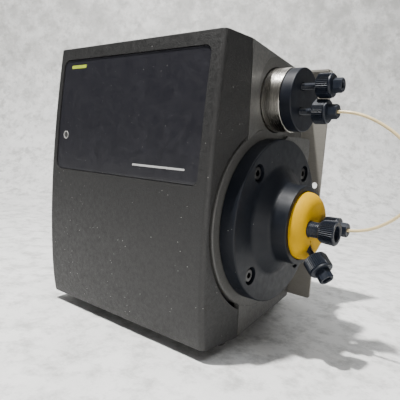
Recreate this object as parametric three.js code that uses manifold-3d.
// Compact laboratory liquid pump: bowed front cover, tapered housing, black pump head with a
// yellow manifold, pressure sensor above it, twin-piston drive inside. Millimetres, +Z up,
// front facing -Y, liquid connections on +X. Pieces are drawn from the body's lower right front
// corner, and the last group puts the origin in the middle of the footprint.
import * as THREE from 'three';
import { mergeVertices } from 'three/addons/utils/BufferGeometryUtils.js';
import Module from 'manifold-3d';

const wasm = await Module();
wasm.setup();

// ---------- driving dimensions ----------
const GAP = 0.3;           // clearance between touching pieces
const WALL = 3;            // housing wall
const PAST = 1;            // how far a cutting tool runs past the surface it cuts

const WIDTH = 120;         // front face
const HEIGHT = 148;        // body without feet
const DEPTH = 111;         // front edge to rear edge
const LEAN = 0.9;          // top front edge ahead of the bottom one
const BULGE = 5.1;         // bow of the front face
const FLARE = 1.7;         // cover side, outward from front edge to seam
const SEAM = [26.5, 18.6]; // cover depth at the bottom and at the top
const TAPER = 13.5;        // each side, inward from seam to rear edge
const SEAM_CUT = [-0.3, 0.6]; // ends of cover and housing, either side of the seam
const CORNER = [2.6, 1.5];    // vertical edges, front and rear
const EDGE = 0.35;            // top and bottom edges

const FOOT = { h: 5.5, r: 5, at: [[-9, 24], [-111, 24], [-24, 96], [-96, 96]] };
const PANEL = { x: [-115, -6.5], z: [78, 141.5], r: 4, sink: 0.5, t: 1.2 };
const LAMP = { x: -108, z: 98, r: 2.3 };

const PUMP = { y: 47.7, z: 60.3 };             // pump head axis, along X
const HEAD = { r: 43.1, x: [0.8, 8.9], edge: 0.7, flareR: 28.5, inside: 12.6 };
const HUB = { r: 20.5, x: [14.2, 23], edge: 0.4 };
const BOSS = { r: 48, x: 0.4, top: 106, gap: 2.4 };      // top: its squared upper rear corner
const SCREW = { at: 25.2, shank: 2, head: 3.4, x: [-2, 4.3, 8], key: 3, keyX: 6, room: 4.6 };

const MANIFOLD = { r: 17.3, x: [18.3, 29.5], round: 6, seat: 24 };
const PORT = { y: 7.7, inlet: 4.3, outlet: 3.3 };       // either side of the pump axis
// stop plug, turned about Y and then tilted about X from pointing along +X; the manifold's facet
// lies this far along it
const PLUG = { at: [29.5, 42.2, 49.5], tilt: -27, turn: 45, bore: 1.9, facet: 0.45 };

const SENSOR = { y: 52.5, z: 123.9, r: 16.6, x: [-22, 8.2, 14.6], edge: 0.5 };
const SEAT = { r: 22.4, x: -2, room: 0.6 };             // round seat of the sensor
const SENSOR_PORT = { y: 48.5, dz: 6.25, r: 2.2, depth: 5 };

const BLOCK = { r: 12.2, x: [-6.2, 11.8], bore: 2.6, sealR: 4.4, sealX: -2.2 };
const VALVE = { r: [1.2, 3.6], x: [12.1, 18] };
const SEAL = { r: [2.5, 4.1], x: [-5.8, -2.5] };
const PISTON = { r: 2.2, x: [-24, 9.6] };               // at mid-stroke, 1.5 mm either way
const SPRING = { turns: 4, x: [-23.2, -10.6], r: 3.7, wire: 0.55 };
const MECHANISM = { r: 26, x: [-66, 0.5], room: 21, roomX: [-44.5, -8], mouth: 12.5 };
const BEARING = { r: 10.9, w: 7, x: [-51.8, -65.7] };
const SHAFT = { r: 3.9, x: [-86, -34.8] };
const SWASH = { x: -34, r: 15, t: 5, tilt: 11, hub: 8, hubX: [-44.4, -36] };
const PULLEY = { x: [-82, -72], driven: 20, driver: 8, rim: 1.6, rimW: 1.5 };
const BELT = { t: 1.2, lift: 0.6, inset: 1.9 };
const MOTOR = { z: PUMP.z + 48, size: 42, x: [-66.1, -26], corner: 5, shaft: 2.5, shaftX: -84 };
const CHASSIS = { x: [-69.5, -66.4], y: [12, 100], top: 140, corner: 4, holes: [12, 11] };

const BOARD = { x: [-101.6, -100], y: [14, 100], z: [12, 134] };
const POWER = { x: [-99.7, -87], y: [48, 88], z: [14, 62] };
const HEADER = { x: [-99.7, -92], y: [84, 98], z: [96, 124] };
const REAR = { x: [-104, -16], y: [107, 109], z: [3.5, 144.5] };
const INLET = { x: [-100, -72], y: [92, 110.2], z: [22, 44], wall: 3, floor: 4 };
const SWITCH = { x: [-62, -42], y: [96, 110.4], z: [26, 40], wall: 2, floor: 3 };
const ROCKER = { x: [-59.4, -44.6], y: 107, z: 33, tilt: 8 };
const DATA = { x: [-60, -40], w: 14, y: [109.3, 112.6], z: [78, 108], wall: 2.5, floor: 1.7 };
const PLATE = { x: 2.9, y: [113, 114.5], z: [1, 151.4], corner: 1.5, lip: [110.6, 1.6] };
const WINDOW = { x: [-104, -17], z: [16, 128], r: 4 };
const PLATE_HOLE = { r: 2, in: 4.3, z: 77 };
const PLATE_SCREW = { x: [-98, -22], z: [8.5, 138], head: 3, shank: 1.5, length: 9 };

const THREAD = { sensor: 1.7, outlet: 2.9, plug: 1.5 };  // neck radii of the fittings
const GRIP = { r: 6.1, edge: 0.6, root: 4.6, hex: 6.35, bore: 1.2 };
const UPPER = { x: [10.4, 22.7, 30.7, 35.3] };           // neck, grip, hexagon, end
const LOWER = { x: [10.4, 22, 29.6, 34.2] };
const OUTLET = { x: [25, 31, 38.4, 42.9] };
const STOP = { x: [-3.5, 4.6, 12.8, 17.8] };
const UNION = { neck: [24.5, 3.9], x: [35, 43.2], mouth: 3.7, bore: 1 };

const TUBE_R = 0.79;
const TUBE_STEPS = 34;
// capillary from the lower sensor fitting round to the outlet nut
const TUBE_ROUTE = [
  [12.4, 48.5, 117.65], [23.3, 48.5, 117.65], [34.2, 48.5, 117.65], [40, 48.7, 117.3],
  [45, 49.1, 116.3], [50, 49.5, 114.5], [55, 50, 112], [60, 50.6, 108.7], [65, 51.4, 104.2],
  [69.3, 52.1, 98.5], [71.9, 52.8, 92.2], [72.4, 53.4, 86.2], [71.2, 53.9, 80.2],
  [68.4, 54.4, 74.6], [64.2, 54.8, 69.7], [59, 55.1, 65.7], [53.6, 55.3, 62.8],
  [48, 55.4, 61], [42.9, 55.4, 60.3], [35, 55.4, 60.3], [27, 55.4, 60.3],
];

// ---------- body profile ----------
function frontY(z) {
  const t = THREE.MathUtils.clamp(z / HEIGHT, 0, 1);
  const u = t ** 0.8;
  return -LEAN * t - BULGE * 4 * u * (1 - u);
}
const seamY = (z) => SEAM[0] + (SEAM[1] - SEAM[0]) * z / HEIGHT;
const radians = THREE.MathUtils.degToRad;

// ---------- solids ----------
function solid(geometry) {
  const bare = new THREE.BufferGeometry();
  bare.setAttribute('position', geometry.getAttribute('position'));
  if (geometry.index) bare.setIndex(geometry.index);
  const merged = mergeVertices(bare, 1e-4);
  return new wasm.Manifold(new wasm.Mesh({
    numProp: 3,
    vertProperties: Float32Array.from(merged.getAttribute('position').array),
    triVerts: Uint32Array.from(merged.index.array),
  }));
}

function geometryOf(piece) {
  const mesh = piece.getMesh();
  const g = new THREE.BufferGeometry();
  g.setAttribute('position', new THREE.BufferAttribute(Float32Array.from(mesh.vertProperties), 3));
  g.setIndex(new THREE.BufferAttribute(Uint32Array.from(mesh.triVerts), 1));
  return g;
}

const join = (...parts) => parts.reduce((a, b) => a.add(b));
const cut = (base, ...tools) => tools.reduce((a, b) => a.subtract(b), base);
const placed = (piece, matrix) => solid(geometryOf(piece).applyMatrix4(matrix));

function box([x0, x1], [y0, y1], [z0, z1]) {
  const g = new THREE.BoxGeometry(x1 - x0, y1 - y0, z1 - z0);
  g.translate((x0 + x1) / 2, (y0 + y1) / 2, (z0 + z1) / 2);
  return solid(g);
}

// turned piece along +X from [x, radius] points that start and end on the axis or close on
// themselves, listed with x going up on the outside
function turned(points, y = 0, z = 0, segments = 32) {
  const profile = points.map(([x, r]) => new THREE.Vector2(r, x));
  const g = new THREE.LatheGeometry(profile, segments);
  g.rotateZ(-Math.PI / 2);
  g.translate(0, y, z);
  return solid(g);
}

const rod = (r, x0, x1, y, z, segments = 24) =>
  turned([[x0, 0], [x0, r], [x1, r], [x1, 0]], y, z, segments);
const ring = ([r0, r1], [x0, x1], y, z, segments = 32) =>
  turned([[x0, r0], [x0, r1], [x1, r1], [x1, r0], [x0, r0]], y, z, segments);

function extruded(outline, depth) {
  const shape = new THREE.Shape(outline.map(([u, v]) => new THREE.Vector2(u, v)));
  return new THREE.ExtrudeGeometry(shape, { depth, bevelEnabled: false });
}

// plate with an outline of [x, z] points, from y0 to y1
function plateY(outline, y0, y1) {
  const g = extruded(outline, y1 - y0);
  g.rotateX(Math.PI / 2);
  g.translate(0, y1, 0);
  return solid(g);
}

// prism with an outline of [y, z] points, from x0 to x1
function prismX(outline, x0, x1) {
  const g = extruded(outline, x1 - x0);
  g.rotateY(Math.PI / 2);
  g.rotateX(Math.PI / 2);
  g.translate(x0, 0, 0);
  return solid(g);
}

function circle(r, a, b, segments) {
  return Array.from({ length: segments }, (_, i) => {
    const t = 2 * Math.PI * i / segments;
    return [a + r * Math.cos(t), b + r * Math.sin(t)];
  });
}

const rodY = (r, y0, y1, x, z, segments = 16) => plateY(circle(r, x, z, segments), y0, y1);
const hexagon = (acrossFlats, a, b) => circle(acrossFlats / Math.sqrt(3), a, b, 6);

// outline with its corners rounded; corners are [u, v, radius]
function rounded(corners, steps = 3) {
  return corners.flatMap(([u, v, r = 0], i) => {
    if (!r) return [[u, v]];
    const p = new THREE.Vector2(u, v);
    const toward = (corner) => new THREE.Vector2(corner[0], corner[1]).sub(p).normalize();
    const a = toward(corners.at(i - 1));
    const b = toward(corners[(i + 1) % corners.length]);
    const half = Math.acos(a.dot(b)) / 2;
    const reach = r / Math.tan(half);
    const centre = a.clone().add(b).normalize().multiplyScalar(r / Math.sin(half)).add(p);
    const angleOf = (side) => p.clone().addScaledVector(side, reach).sub(centre).angle();
    const from = angleOf(a);
    const turn = angleOf(b) - from;
    const sweep = Math.atan2(Math.sin(turn), Math.cos(turn));
    return Array.from({ length: steps + 1 }, (_, k) => {
      const t = from + sweep * k / steps;
      return [centre.x + r * Math.cos(t), centre.y + r * Math.sin(t)];
    });
  });
}

const roundedRect = ([u0, u1], [v0, v1], r) =>
  rounded([[u0, v0, r], [u1, v0, r], [u1, v1, r], [u0, v1, r]]);
const inward = ([a, b], d) => [a + d, b - d];

// solid through stacked convex outlines, each { z, points } with equal point counts
function loft(levels) {
  const n = levels[0].points.length;
  const positions = levels.flatMap(({ z, points }) => points.flatMap(([x, y]) => [x, y, z]));
  const index = [];
  for (let level = 0; level < levels.length - 1; level++) {
    for (let i = 0; i < n; i++) {
      const a = level * n + i;
      const b = level * n + (i + 1) % n;
      index.push(a, b, a + n, b, b + n, a + n);
    }
  }
  const top = (levels.length - 1) * n;
  for (let i = 1; i < n - 1; i++) index.push(0, i + 1, i, top, top + i, top + i + 1);
  const g = new THREE.BufferGeometry();
  g.setAttribute('position', new THREE.Float32BufferAttribute(positions, 3));
  g.setIndex(index);
  return solid(g);
}

// ---------- body: one tapered form, split along the seam into cover and housing ----------
const BODY_LEVELS = 10;
const LEAST_CORNER = 0.8;
const slope = TAPER / (DEPTH - SEAM[0]);

function bodyOutline(z, inset, rear) {
  const front = frontY(z) + inset;
  const seam = seamY(z);
  const r = Math.max(CORNER[0] - inset, LEAST_CORNER);
  const atSeam = FLARE - inset;
  const atRear = atSeam - slope * (rear - seam);
  const mirror = (x) => -WIDTH - x;
  return rounded([
    [mirror(-inset), front, r], [-inset, front, r], [atSeam, seam], [atRear, rear, CORNER[1]],
    [mirror(atRear), rear, CORNER[1]], [mirror(atSeam), seam],
  ]);
}

function bodyForm(inset, rear, edge) {
  const z0 = inset;
  const z1 = HEIGHT - inset;
  const levels = [{ z: z0, points: bodyOutline(z0, inset + edge, rear - edge) }];
  for (let i = 0; i <= BODY_LEVELS; i++) {
    const z = z0 + EDGE + (z1 - z0 - 2 * EDGE) * i / BODY_LEVELS;
    levels.push({ z, points: bodyOutline(z, inset, rear) });
  }
  levels.push({ z: z1, points: bodyOutline(z1, inset + edge, rear - edge) });
  return loft(levels);
}

const shell = cut(bodyForm(0, DEPTH, EDGE), bodyForm(WALL, DEPTH + 10, 0));
const FAR = 30;
const aheadOfSeam = (shift) => prismX([
  [-FAR, -FAR], [seamY(-FAR) + shift, -FAR],
  [seamY(HEIGHT + FAR) + shift, HEIGHT + FAR], [-FAR, HEIGHT + FAR]], -WIDTH - FAR, FAR);

// slab that follows the bowed front within the panel's outline, drawn in by margin
function frontSlab(depth0, depth1, margin) {
  const steps = 8;
  const spare = 2;
  const levels = [];
  for (let i = 0; i <= steps; i++) {
    const z = PANEL.z[0] - spare + (PANEL.z[1] - PANEL.z[0] + 2 * spare) * i / steps;
    const y = frontY(z);
    const [x0, x1] = inward(PANEL.x, -spare);
    levels.push({ z, points: [
      [x0, y + depth0], [x1, y + depth0], [x1, y + depth1], [x0, y + depth1]] });
  }
  const outline = roundedRect(inward(PANEL.x, margin), inward(PANEL.z, margin), PANEL.r - margin);
  return loft(levels).intersect(plateY(outline, -20, 20));
}

const lampHole = rodY(LAMP.r + GAP, -20, 10, LAMP.x, LAMP.z);
const frontCover = () => cut(
  shell.intersect(aheadOfSeam(SEAM_CUT[0])),
  rod(BOSS.r + BOSS.gap, -16, 10, PUMP.y, PUMP.z, 56),
  frontSlab(-4, PANEL.sink + PANEL.t + GAP, 0),
  lampHole);
const overlayPanel = () => cut(frontSlab(PANEL.sink, PANEL.sink + PANEL.t, GAP), lampHole);
const statusLight = () => rodY(LAMP.r, frontY(LAMP.z) + PANEL.sink, 0, LAMP.x, LAMP.z);

const headScrewPlaces = [[-1, 1], [1, 1], [-1, -1], [1, -1]].map(
  ([j, k]) => [PUMP.y + j * SCREW.at, PUMP.z + k * SCREW.at]);

function housingShell() {
  const deep = -26;
  const bossBody = (r, x, top, inside, segments) => join(
    rod(r, inside, x, PUMP.y, PUMP.z, segments),
    box([inside, x], [PUMP.y, PUMP.y + r], [PUMP.z, top]));
  const hollow = bossBody(BOSS.r - WALL, BOSS.x - WALL, BOSS.top - WALL, deep, 40);
  const seat = (x0, x1) => rod(SEAT.r, x0, x1, SENSOR.y, SENSOR.z, 36);
  const side = cut(
    shell, aheadOfSeam(SEAM_CUT[1]), hollow, rod(BOSS.r, BOSS.x, 10, PUMP.y, PUMP.z, 56));
  return cut(
    join(
      cut(join(side, cut(bossBody(BOSS.r, BOSS.x, BOSS.top, -20, 56), hollow)), seat(SEAT.x, 10)),
      seat(-14, SEAT.x)),
    rod(MECHANISM.r + 0.5, -FAR, 10, PUMP.y, PUMP.z, 36),
    rod(SENSOR.r + SEAT.room, -FAR, 10, SENSOR.y, SENSOR.z, 36),
    ...headScrewPlaces.map(([y, z]) => rod(SCREW.shank + 0.4, -10, 10, y, z, 12)));
}

// ---------- pump head ----------
const headFlange = () => cut(
  turned([
    [HEAD.x[0], HEAD.inside], [HEAD.x[0], HEAD.r], [HEAD.x[1] - HEAD.edge, HEAD.r],
    [HEAD.x[1], HEAD.r - HEAD.edge], [HEAD.x[1], HEAD.flareR], [HUB.x[0], HUB.r],
    [HUB.x[1], HUB.r - HUB.edge], [HUB.x[1], MANIFOLD.r + GAP], [VALVE.x[1], MANIFOLD.r + GAP],
    [VALVE.x[1], HEAD.inside], [HEAD.x[0], HEAD.inside],
  ], PUMP.y, PUMP.z, 44),
  ...headScrewPlaces.flatMap(([y, z]) => [
    rod(SCREW.room, SCREW.x[1] - GAP, 12, y, z, 16), rod(SCREW.shank + GAP, 0, 6, y, z, 12)]));

const capScrew = () => cut(
  join(rod(SCREW.shank, SCREW.x[0], SCREW.x[1] + PAST, 0, 0, 12),
    rod(SCREW.head, SCREW.x[1], SCREW.x[2], 0, 0, 16)),
  prismX(hexagon(SCREW.key, 0, 0), SCREW.keyX, SCREW.x[2] + PAST));

function manifold() {
  const aim = new THREE.Euler(radians(PLUG.tilt), radians(PLUG.turn), 0);
  const plugFrame = new THREE.Matrix4().makeRotationFromEuler(aim).setPosition(...PLUG.at);
  const edge = [0, 45, 90].map((d) => [
    MANIFOLD.x[1] - MANIFOLD.round * (1 - Math.sin(radians(d))),
    MANIFOLD.r - MANIFOLD.round * (1 - Math.cos(radians(d)))]);
  const [x0, x1] = MANIFOLD.x;
  const port = (r, side) =>
    rod(r, MANIFOLD.seat, x1 + PAST, PUMP.y + side * PORT.y, PUMP.z, 14);
  return cut(
    turned([[x0, 0], [x0, MANIFOLD.r], ...edge, [x1, 0]], PUMP.y, PUMP.z, 36),
    port(PORT.inlet, -1), port(PORT.outlet, 1),
    placed(box([PLUG.facet, 12], [-12, 12], [-12, 12]), plugFrame),
    placed(rod(PLUG.bore, -5, PAST, 0, 0, 12), plugFrame));
}

// ---------- fluid side behind the manifold; side is -1 for the inlet, 1 for the outlet ----------
const portY = (side) => PUMP.y + side * PORT.y;
const cylinderBlock = () => cut(
  rod(BLOCK.r, ...BLOCK.x, PUMP.y, PUMP.z, 28),
  ...[-1, 1].flatMap((side) => [
    rod(BLOCK.bore, BLOCK.x[0] - PAST, BLOCK.x[1] + PAST, portY(side), PUMP.z, 12),
    rod(BLOCK.sealR, BLOCK.x[0] - PAST, BLOCK.sealX, portY(side), PUMP.z, 16)]));
const valve = (side) => ring(VALVE.r, VALVE.x, portY(side), PUMP.z, 14);
const seal = (side) => ring(SEAL.r, SEAL.x, portY(side), PUMP.z, 14);
const piston = (side) => rod(PISTON.r, ...PISTON.x, portY(side), PUMP.z, 12);
const pistonShoe = (side) => turned(
  [[-30.2, 0], [-29.6, 2.6], [-28.2, 4], [PISTON.x[0] - GAP, 4], [PISTON.x[0] - GAP, 0]],
  portY(side), PUMP.z, 16);

class Coil extends THREE.Curve {
  getPoint(t, out = new THREE.Vector3()) {
    const angle = 2 * Math.PI * SPRING.turns * t;
    const x = THREE.MathUtils.lerp(...SPRING.x, t);
    return out.set(x, SPRING.r * Math.cos(angle), SPRING.r * Math.sin(angle));
  }
}

function swept(section, path, steps) {
  const shape = new THREE.Shape(section.map((p) => new THREE.Vector2(...p)));
  return solid(new THREE.ExtrudeGeometry(shape, { steps, extrudePath: path }));
}
const spring = () => swept(circle(SPRING.wire, 0, 0, 4), new Coil(), SPRING.turns * 8);

// ---------- drive ----------
function mechanismHousing() {
  const bore = BEARING.r + GAP;
  const [x0, x1] = MECHANISM.x;
  const [r0, r1] = MECHANISM.roomX;
  return turned([
    [x0, bore], [x0, MECHANISM.r], [x1, MECHANISM.r], [x1, MECHANISM.mouth],
    [r1, MECHANISM.mouth], [r1, MECHANISM.room], [r0, MECHANISM.room], [r0, bore], [x0, bore],
  ], PUMP.y, PUMP.z, 32);
}
const bearing = (x) => ring([SHAFT.r + GAP, BEARING.r], [x, x + BEARING.w], PUMP.y, PUMP.z, 20);
const driveShaft = () => rod(SHAFT.r, ...SHAFT.x, PUMP.y, PUMP.z, 16);

function swashPlate() {
  const tilted = new THREE.Matrix4().makeRotationY(radians(SWASH.tilt)).setPosition(SWASH.x, 0, 0);
  return cut(
    join(rod(SWASH.hub, ...SWASH.hubX, 0, 0, 16), placed(rod(SWASH.r, -SWASH.t, 0, 0, 0), tilted)),
    rod(SHAFT.r + GAP, SWASH.hubX[0] - PAST, -20, 0, 0, 16));
}

function pulley(r, bore, z) {
  const [x0, x1] = PULLEY.x;
  const rim = r + PULLEY.rim;
  return turned([
    [x0, bore], [x0, rim], [x0 + PULLEY.rimW, rim], [x0 + PULLEY.rimW, r], [x1 - PULLEY.rimW, r],
    [x1 - PULLEY.rimW, rim], [x1, rim], [x1, bore], [x0, bore],
  ], PUMP.y, z, 20);
}

// outline of a belt run over the two pulleys, at a height above both rims
function beltRun(height) {
  const r0 = PULLEY.driven + height;
  const r1 = PULLEY.driver + height;
  const lean = Math.asin((r0 - r1) / (MOTOR.z - PUMP.z));
  const steps = 10;
  const arc = (z, r, from, to) => Array.from({ length: steps + 1 }, (_, i) => {
    const t = from + (to - from) * i / steps;
    return [PUMP.y + r * Math.cos(t), z + r * Math.sin(t)];
  });
  return [
    ...arc(PUMP.z, r0, Math.PI - lean, 2 * Math.PI + lean), ...arc(MOTOR.z, r1, lean, Math.PI - lean)];
}

function driveBelt() {
  const [x0, x1] = inward(PULLEY.x, BELT.inset);
  return cut(
    prismX(beltRun(BELT.lift + BELT.t), x0, x1),
    prismX(beltRun(BELT.lift), x0 - PAST, x1 + PAST));
}

const motor = () => cut(
  prismX(roundedRect(
    [PUMP.y - MOTOR.size / 2, PUMP.y + MOTOR.size / 2],
    [MOTOR.z - MOTOR.size / 2, MOTOR.z + MOTOR.size / 2], MOTOR.corner), ...MOTOR.x),
  rod(MOTOR.shaft + GAP, MOTOR.x[0] - PAST, MOTOR.x[0] + 15, PUMP.y, MOTOR.z, 16));
const motorShaft = () => rod(MOTOR.shaft, MOTOR.shaftX, MOTOR.x[0] + 14, PUMP.y, MOTOR.z, 16);

const chassisPlate = () => cut(
  prismX(roundedRect(CHASSIS.y, [WALL + GAP, CHASSIS.top], CHASSIS.corner), ...CHASSIS.x),
  ...[PUMP.z, MOTOR.z].map((z, i) => rod(CHASSIS.holes[i], -75, -60, PUMP.y, z, 20)));

// ---------- electronics and rear ----------
const SMALL_CORNER = 1.5;
const controlBoard = () => prismX(roundedRect(BOARD.y, BOARD.z, 2), ...BOARD.x);
const powerModule = () => prismX(roundedRect(POWER.y, POWER.z, 2), ...POWER.x);
const boardConnector = () => box(HEADER.x, HEADER.y, HEADER.z);

// open-backed block; wall and floor are its thicknesses
const socketBlock = ({ x, y, z, wall, floor }) => cut(
  plateY(roundedRect(x, z, SMALL_CORNER), ...y),
  plateY(roundedRect(inward(x, wall), inward(z, wall), 1), y[0] + floor, y[1] + PAST));
const dataSocket = (x) => socketBlock({ ...DATA, x: [x, x + DATA.w] });

const rocker = () => prismX(rounded([
  [3.4, -4], [4.8, -4, 0.6], [3.6, 0], [4.8, 4, 0.6], [3.4, 4], [-2.5, 2.2], [-2.5, -2.2]], 2),
...ROCKER.x);

const plateScrewPlaces = PLATE_SCREW.x.flatMap((x) => PLATE_SCREW.z.map((z) => [x, z]));
const alongY = new THREE.Matrix4().makeRotationZ(Math.PI / 2);

// countersunk screw along +X, its head flush with x = 0, grown by a clearance
function countersunk(grow) {
  const thick = PLATE.y[1] - PLATE.y[0];
  const shank = PLATE_SCREW.shank + grow;
  return turned([
    [-PLATE_SCREW.length, 0], [-PLATE_SCREW.length, shank], [-thick, shank],
    [grow, PLATE_SCREW.head + 2 * grow], [grow, 0]], 0, 0, 16);
}
const screwHoles = () => plateScrewPlaces.map(
  ([x, z]) => placed(countersunk(GAP), alongY.clone().setPosition(x, PLATE.y[1], z)));

const rearPanel = () => cut(
  plateY(roundedRect(REAR.x, REAR.z, 2), ...REAR.y),
  ...[INLET, SWITCH].map(({ x, z }) => box(inward(x, -GAP), [100, 120], inward(z, -GAP))),
  ...screwHoles());

function mountingPlate() {
  const wide = [-WIDTH - PLATE.x, PLATE.x];
  const [lipY, lipT] = PLATE.lip;
  return cut(
    join(
      plateY(roundedRect(wide, PLATE.z, PLATE.corner), ...PLATE.y),
      box(inward(wide, PLATE.corner), [lipY, PLATE.y[1] - 0.5], [PLATE.z[1] - lipT, PLATE.z[1]])),
    plateY(roundedRect(WINDOW.x, WINDOW.z, WINDOW.r), 105, 120),
    ...inward(wide, PLATE_HOLE.in).map((x) => rodY(PLATE_HOLE.r, 105, 120, x, PLATE_HOLE.z)),
    ...screwHoles());
}

// ---------- sensor and fittings ----------
const sensorPorts = [1, -1].map((side) => SENSOR.z + side * SENSOR_PORT.dz);
const sensorBody = () => turned([
  [SENSOR.x[0], 0], [SENSOR.x[0], SENSOR.r], [SENSOR.x[1] - SENSOR.edge, SENSOR.r],
  [SENSOR.x[1], SENSOR.r - SENSOR.edge], [SENSOR.x[1], 0]], SENSOR.y, SENSOR.z, 36);

function sensorCap() {
  const r = SENSOR.r - GAP;
  const [, x0, x1] = SENSOR.x;
  return cut(
    turned([
      [x0 + GAP, 0], [x0 + GAP, r], [x1 - SENSOR.edge, r], [x1, r - SENSOR.edge], [x1, 0],
    ], SENSOR.y, SENSOR.z, 36),
    ...sensorPorts.map((z) =>
      rod(SENSOR_PORT.r, x1 - SENSOR_PORT.depth, x1 + PAST, SENSOR_PORT.y, z, 12)));
}

// finger-tight fitting along +X: threaded neck, gripped body, hexagonal end, tube bore
function fitting({ x: [root, grip, hex, end] }, neck, y = 0, z = 0) {
  return cut(
    join(
      turned([
        [root, 0], [root, neck], [grip, neck], [grip, GRIP.root], [grip + 1, GRIP.r],
        [hex - GRIP.edge, GRIP.r], [hex, GRIP.r - GRIP.edge], [hex, 0]], y, z, 16),
      prismX(hexagon(GRIP.hex, y, z), hex - PAST, end)),
    rod(GRIP.bore, root - PAST, end + PAST, y, z, 10));
}

function inletUnion() {
  const [neckX, neckR] = UNION.neck;
  const [x0, x1] = UNION.x;
  const y = portY(-1);
  return cut(
    turned([
      [neckX, 0], [neckX, neckR], [x0, neckR], [x0 + 1.6, GRIP.r - 0.4], [x1 - GRIP.edge, GRIP.r],
      [x1, GRIP.r - GRIP.edge], [x1, 0]], y, PUMP.z, 20),
    rod(UNION.mouth, x0 + 1.5, x1 + PAST, y, PUMP.z, 20),
    rod(UNION.bore, neckX - PAST, x1, y, PUMP.z, 10));
}

const outletTube = () => swept(
  circle(TUBE_R, 0, 0, 8),
  new THREE.CatmullRomCurve3(TUBE_ROUTE.map((p) => new THREE.Vector3(...p)), false, 'centripetal'),
  TUBE_STEPS);

// ---------- assembly ----------
const foremost = Math.min(...Array.from({ length: 101 }, (_, i) => frontY(HEIGHT * i / 100)));
const pump = new THREE.Group();
pump.position.set(
  (WIDTH + PLATE.x - UNION.x[1]) / 2, -(PLATE.y[1] + foremost) / 2, FOOT.h);

function add(name, piece, material, at = [0, 0, 0], turn = [0, 0, 0]) {
  const mesh = new THREE.Mesh(geometryOf(piece), material);
  mesh.name = name;
  mesh.position.set(...at);
  mesh.rotation.set(...turn.map(radians));
  pump.add(mesh);
}
const matt = (color) => new THREE.MeshStandardMaterial({ color, metalness: 0, roughness: 0.65 });
const metal = (color) => new THREE.MeshStandardMaterial({ color, metalness: 1, roughness: 0.35 });

const BLACK = 0x17181b;
const STEEL = 0xb8b8b4;
const ALUMINIUM = 0xa8a8a6;
const ZINC = 0x9b9b98;

add('front_cover', frontCover(), matt(0x3c3c3b));
add('overlay_panel', overlayPanel(), matt(0x2b2b2e));
add('status_light', statusLight(), matt(0x8a8a86));
add('housing_shell', housingShell(), matt(0x4a4a48));
add('mounting_plate', mountingPlate(), metal(0x77746a));
add('rear_panel', rearPanel(), metal(ZINC));
plateScrewPlaces.forEach(([x, z], i) => {
  add(`plate_screw_${i + 1}`, countersunk(0), metal(STEEL), [x, PLATE.y[1], z], [0, 0, 90]);
});
FOOT.at.forEach(([x, y], i) => {
  add(`foot_${i + 1}`, rod(FOOT.r, GAP, FOOT.h, 0, 0, 16), matt(BLACK), [x, y, 0], [0, 90, 0]);
});

add('pump_head_flange', headFlange(), matt(BLACK));
headScrewPlaces.forEach(([y, z], i) => {
  add(`head_screw_${i + 1}`, capScrew(), metal(0x8f8f8c), [0, y, z]);
});
add('manifold', manifold(), matt(0xe0b414));
add('cylinder_block', cylinderBlock(), metal(STEEL));
[['inlet', -1], ['outlet', 1]].forEach(([name, side]) => {
  add(`${name}_valve`, valve(side), metal(STEEL));
  add(`${name}_seal`, seal(side), matt(0x2a2a2c));
  add(`${name}_piston`, piston(side), matt(0xe8e4d8));
  add(`${name}_piston_shoe`, pistonShoe(side), metal(STEEL));
  add(`${name}_spring`, spring(), metal(STEEL), [0, portY(side), PUMP.z]);
});

add('mechanism_housing', mechanismHousing(), metal(ALUMINIUM));
add('front_bearing', bearing(BEARING.x[0]), metal(STEEL));
add('rear_bearing', bearing(BEARING.x[1]), metal(STEEL));
add('drive_shaft', driveShaft(), metal(STEEL));
add('swash_plate', swashPlate(), metal(ZINC), [0, PUMP.y, PUMP.z]);
add('driven_pulley', pulley(PULLEY.driven, SHAFT.r + GAP, PUMP.z), metal(ALUMINIUM));
add('drive_belt', driveBelt(), matt(BLACK));
add('motor_pulley', pulley(PULLEY.driver, MOTOR.shaft + GAP, MOTOR.z), metal(ALUMINIUM));
add('motor', motor(), matt(0x222224));
add('motor_shaft', motorShaft(), metal(STEEL));
add('chassis_plate', chassisPlate(), metal(ALUMINIUM));

add('control_board', controlBoard(), matt(0x1c4a32));
add('power_module', powerModule(), matt(0x1e1e20));
add('board_connector', boardConnector(), matt(0xd8d4c4));
add('power_inlet', socketBlock(INLET), matt(BLACK));
add('switch_frame', socketBlock(SWITCH), matt(BLACK));
add('rocker_switch', rocker(), matt(0x222224), [0, ROCKER.y, ROCKER.z], [ROCKER.tilt, 0, 0]);
DATA.x.forEach((x, i) => add(`data_socket_${i + 1}`, dataSocket(x), metal(STEEL)));

add('sensor_body', sensorBody(), metal(0xa9a49a));
add('sensor_cap', sensorCap(), matt(BLACK));
add('sensor_nut_upper', fitting(UPPER, THREAD.sensor, SENSOR_PORT.y, sensorPorts[0]), matt(BLACK));
add('sensor_nut_lower', fitting(LOWER, THREAD.sensor, SENSOR_PORT.y, sensorPorts[1]), matt(BLACK));
add('inlet_union', inletUnion(), matt(BLACK));
add('outlet_nut', fitting(OUTLET, THREAD.outlet, portY(1), PUMP.z), matt(BLACK));
add('stop_plug', fitting(STOP, THREAD.plug), matt(BLACK), PLUG.at, [PLUG.tilt, PLUG.turn, 0]);
add('outlet_tube', outletTube(), matt(0xb9a77e));

const group = new THREE.Group();
group.name = 'laboratory_liquid_pump';
group.add(pump);
export default group;
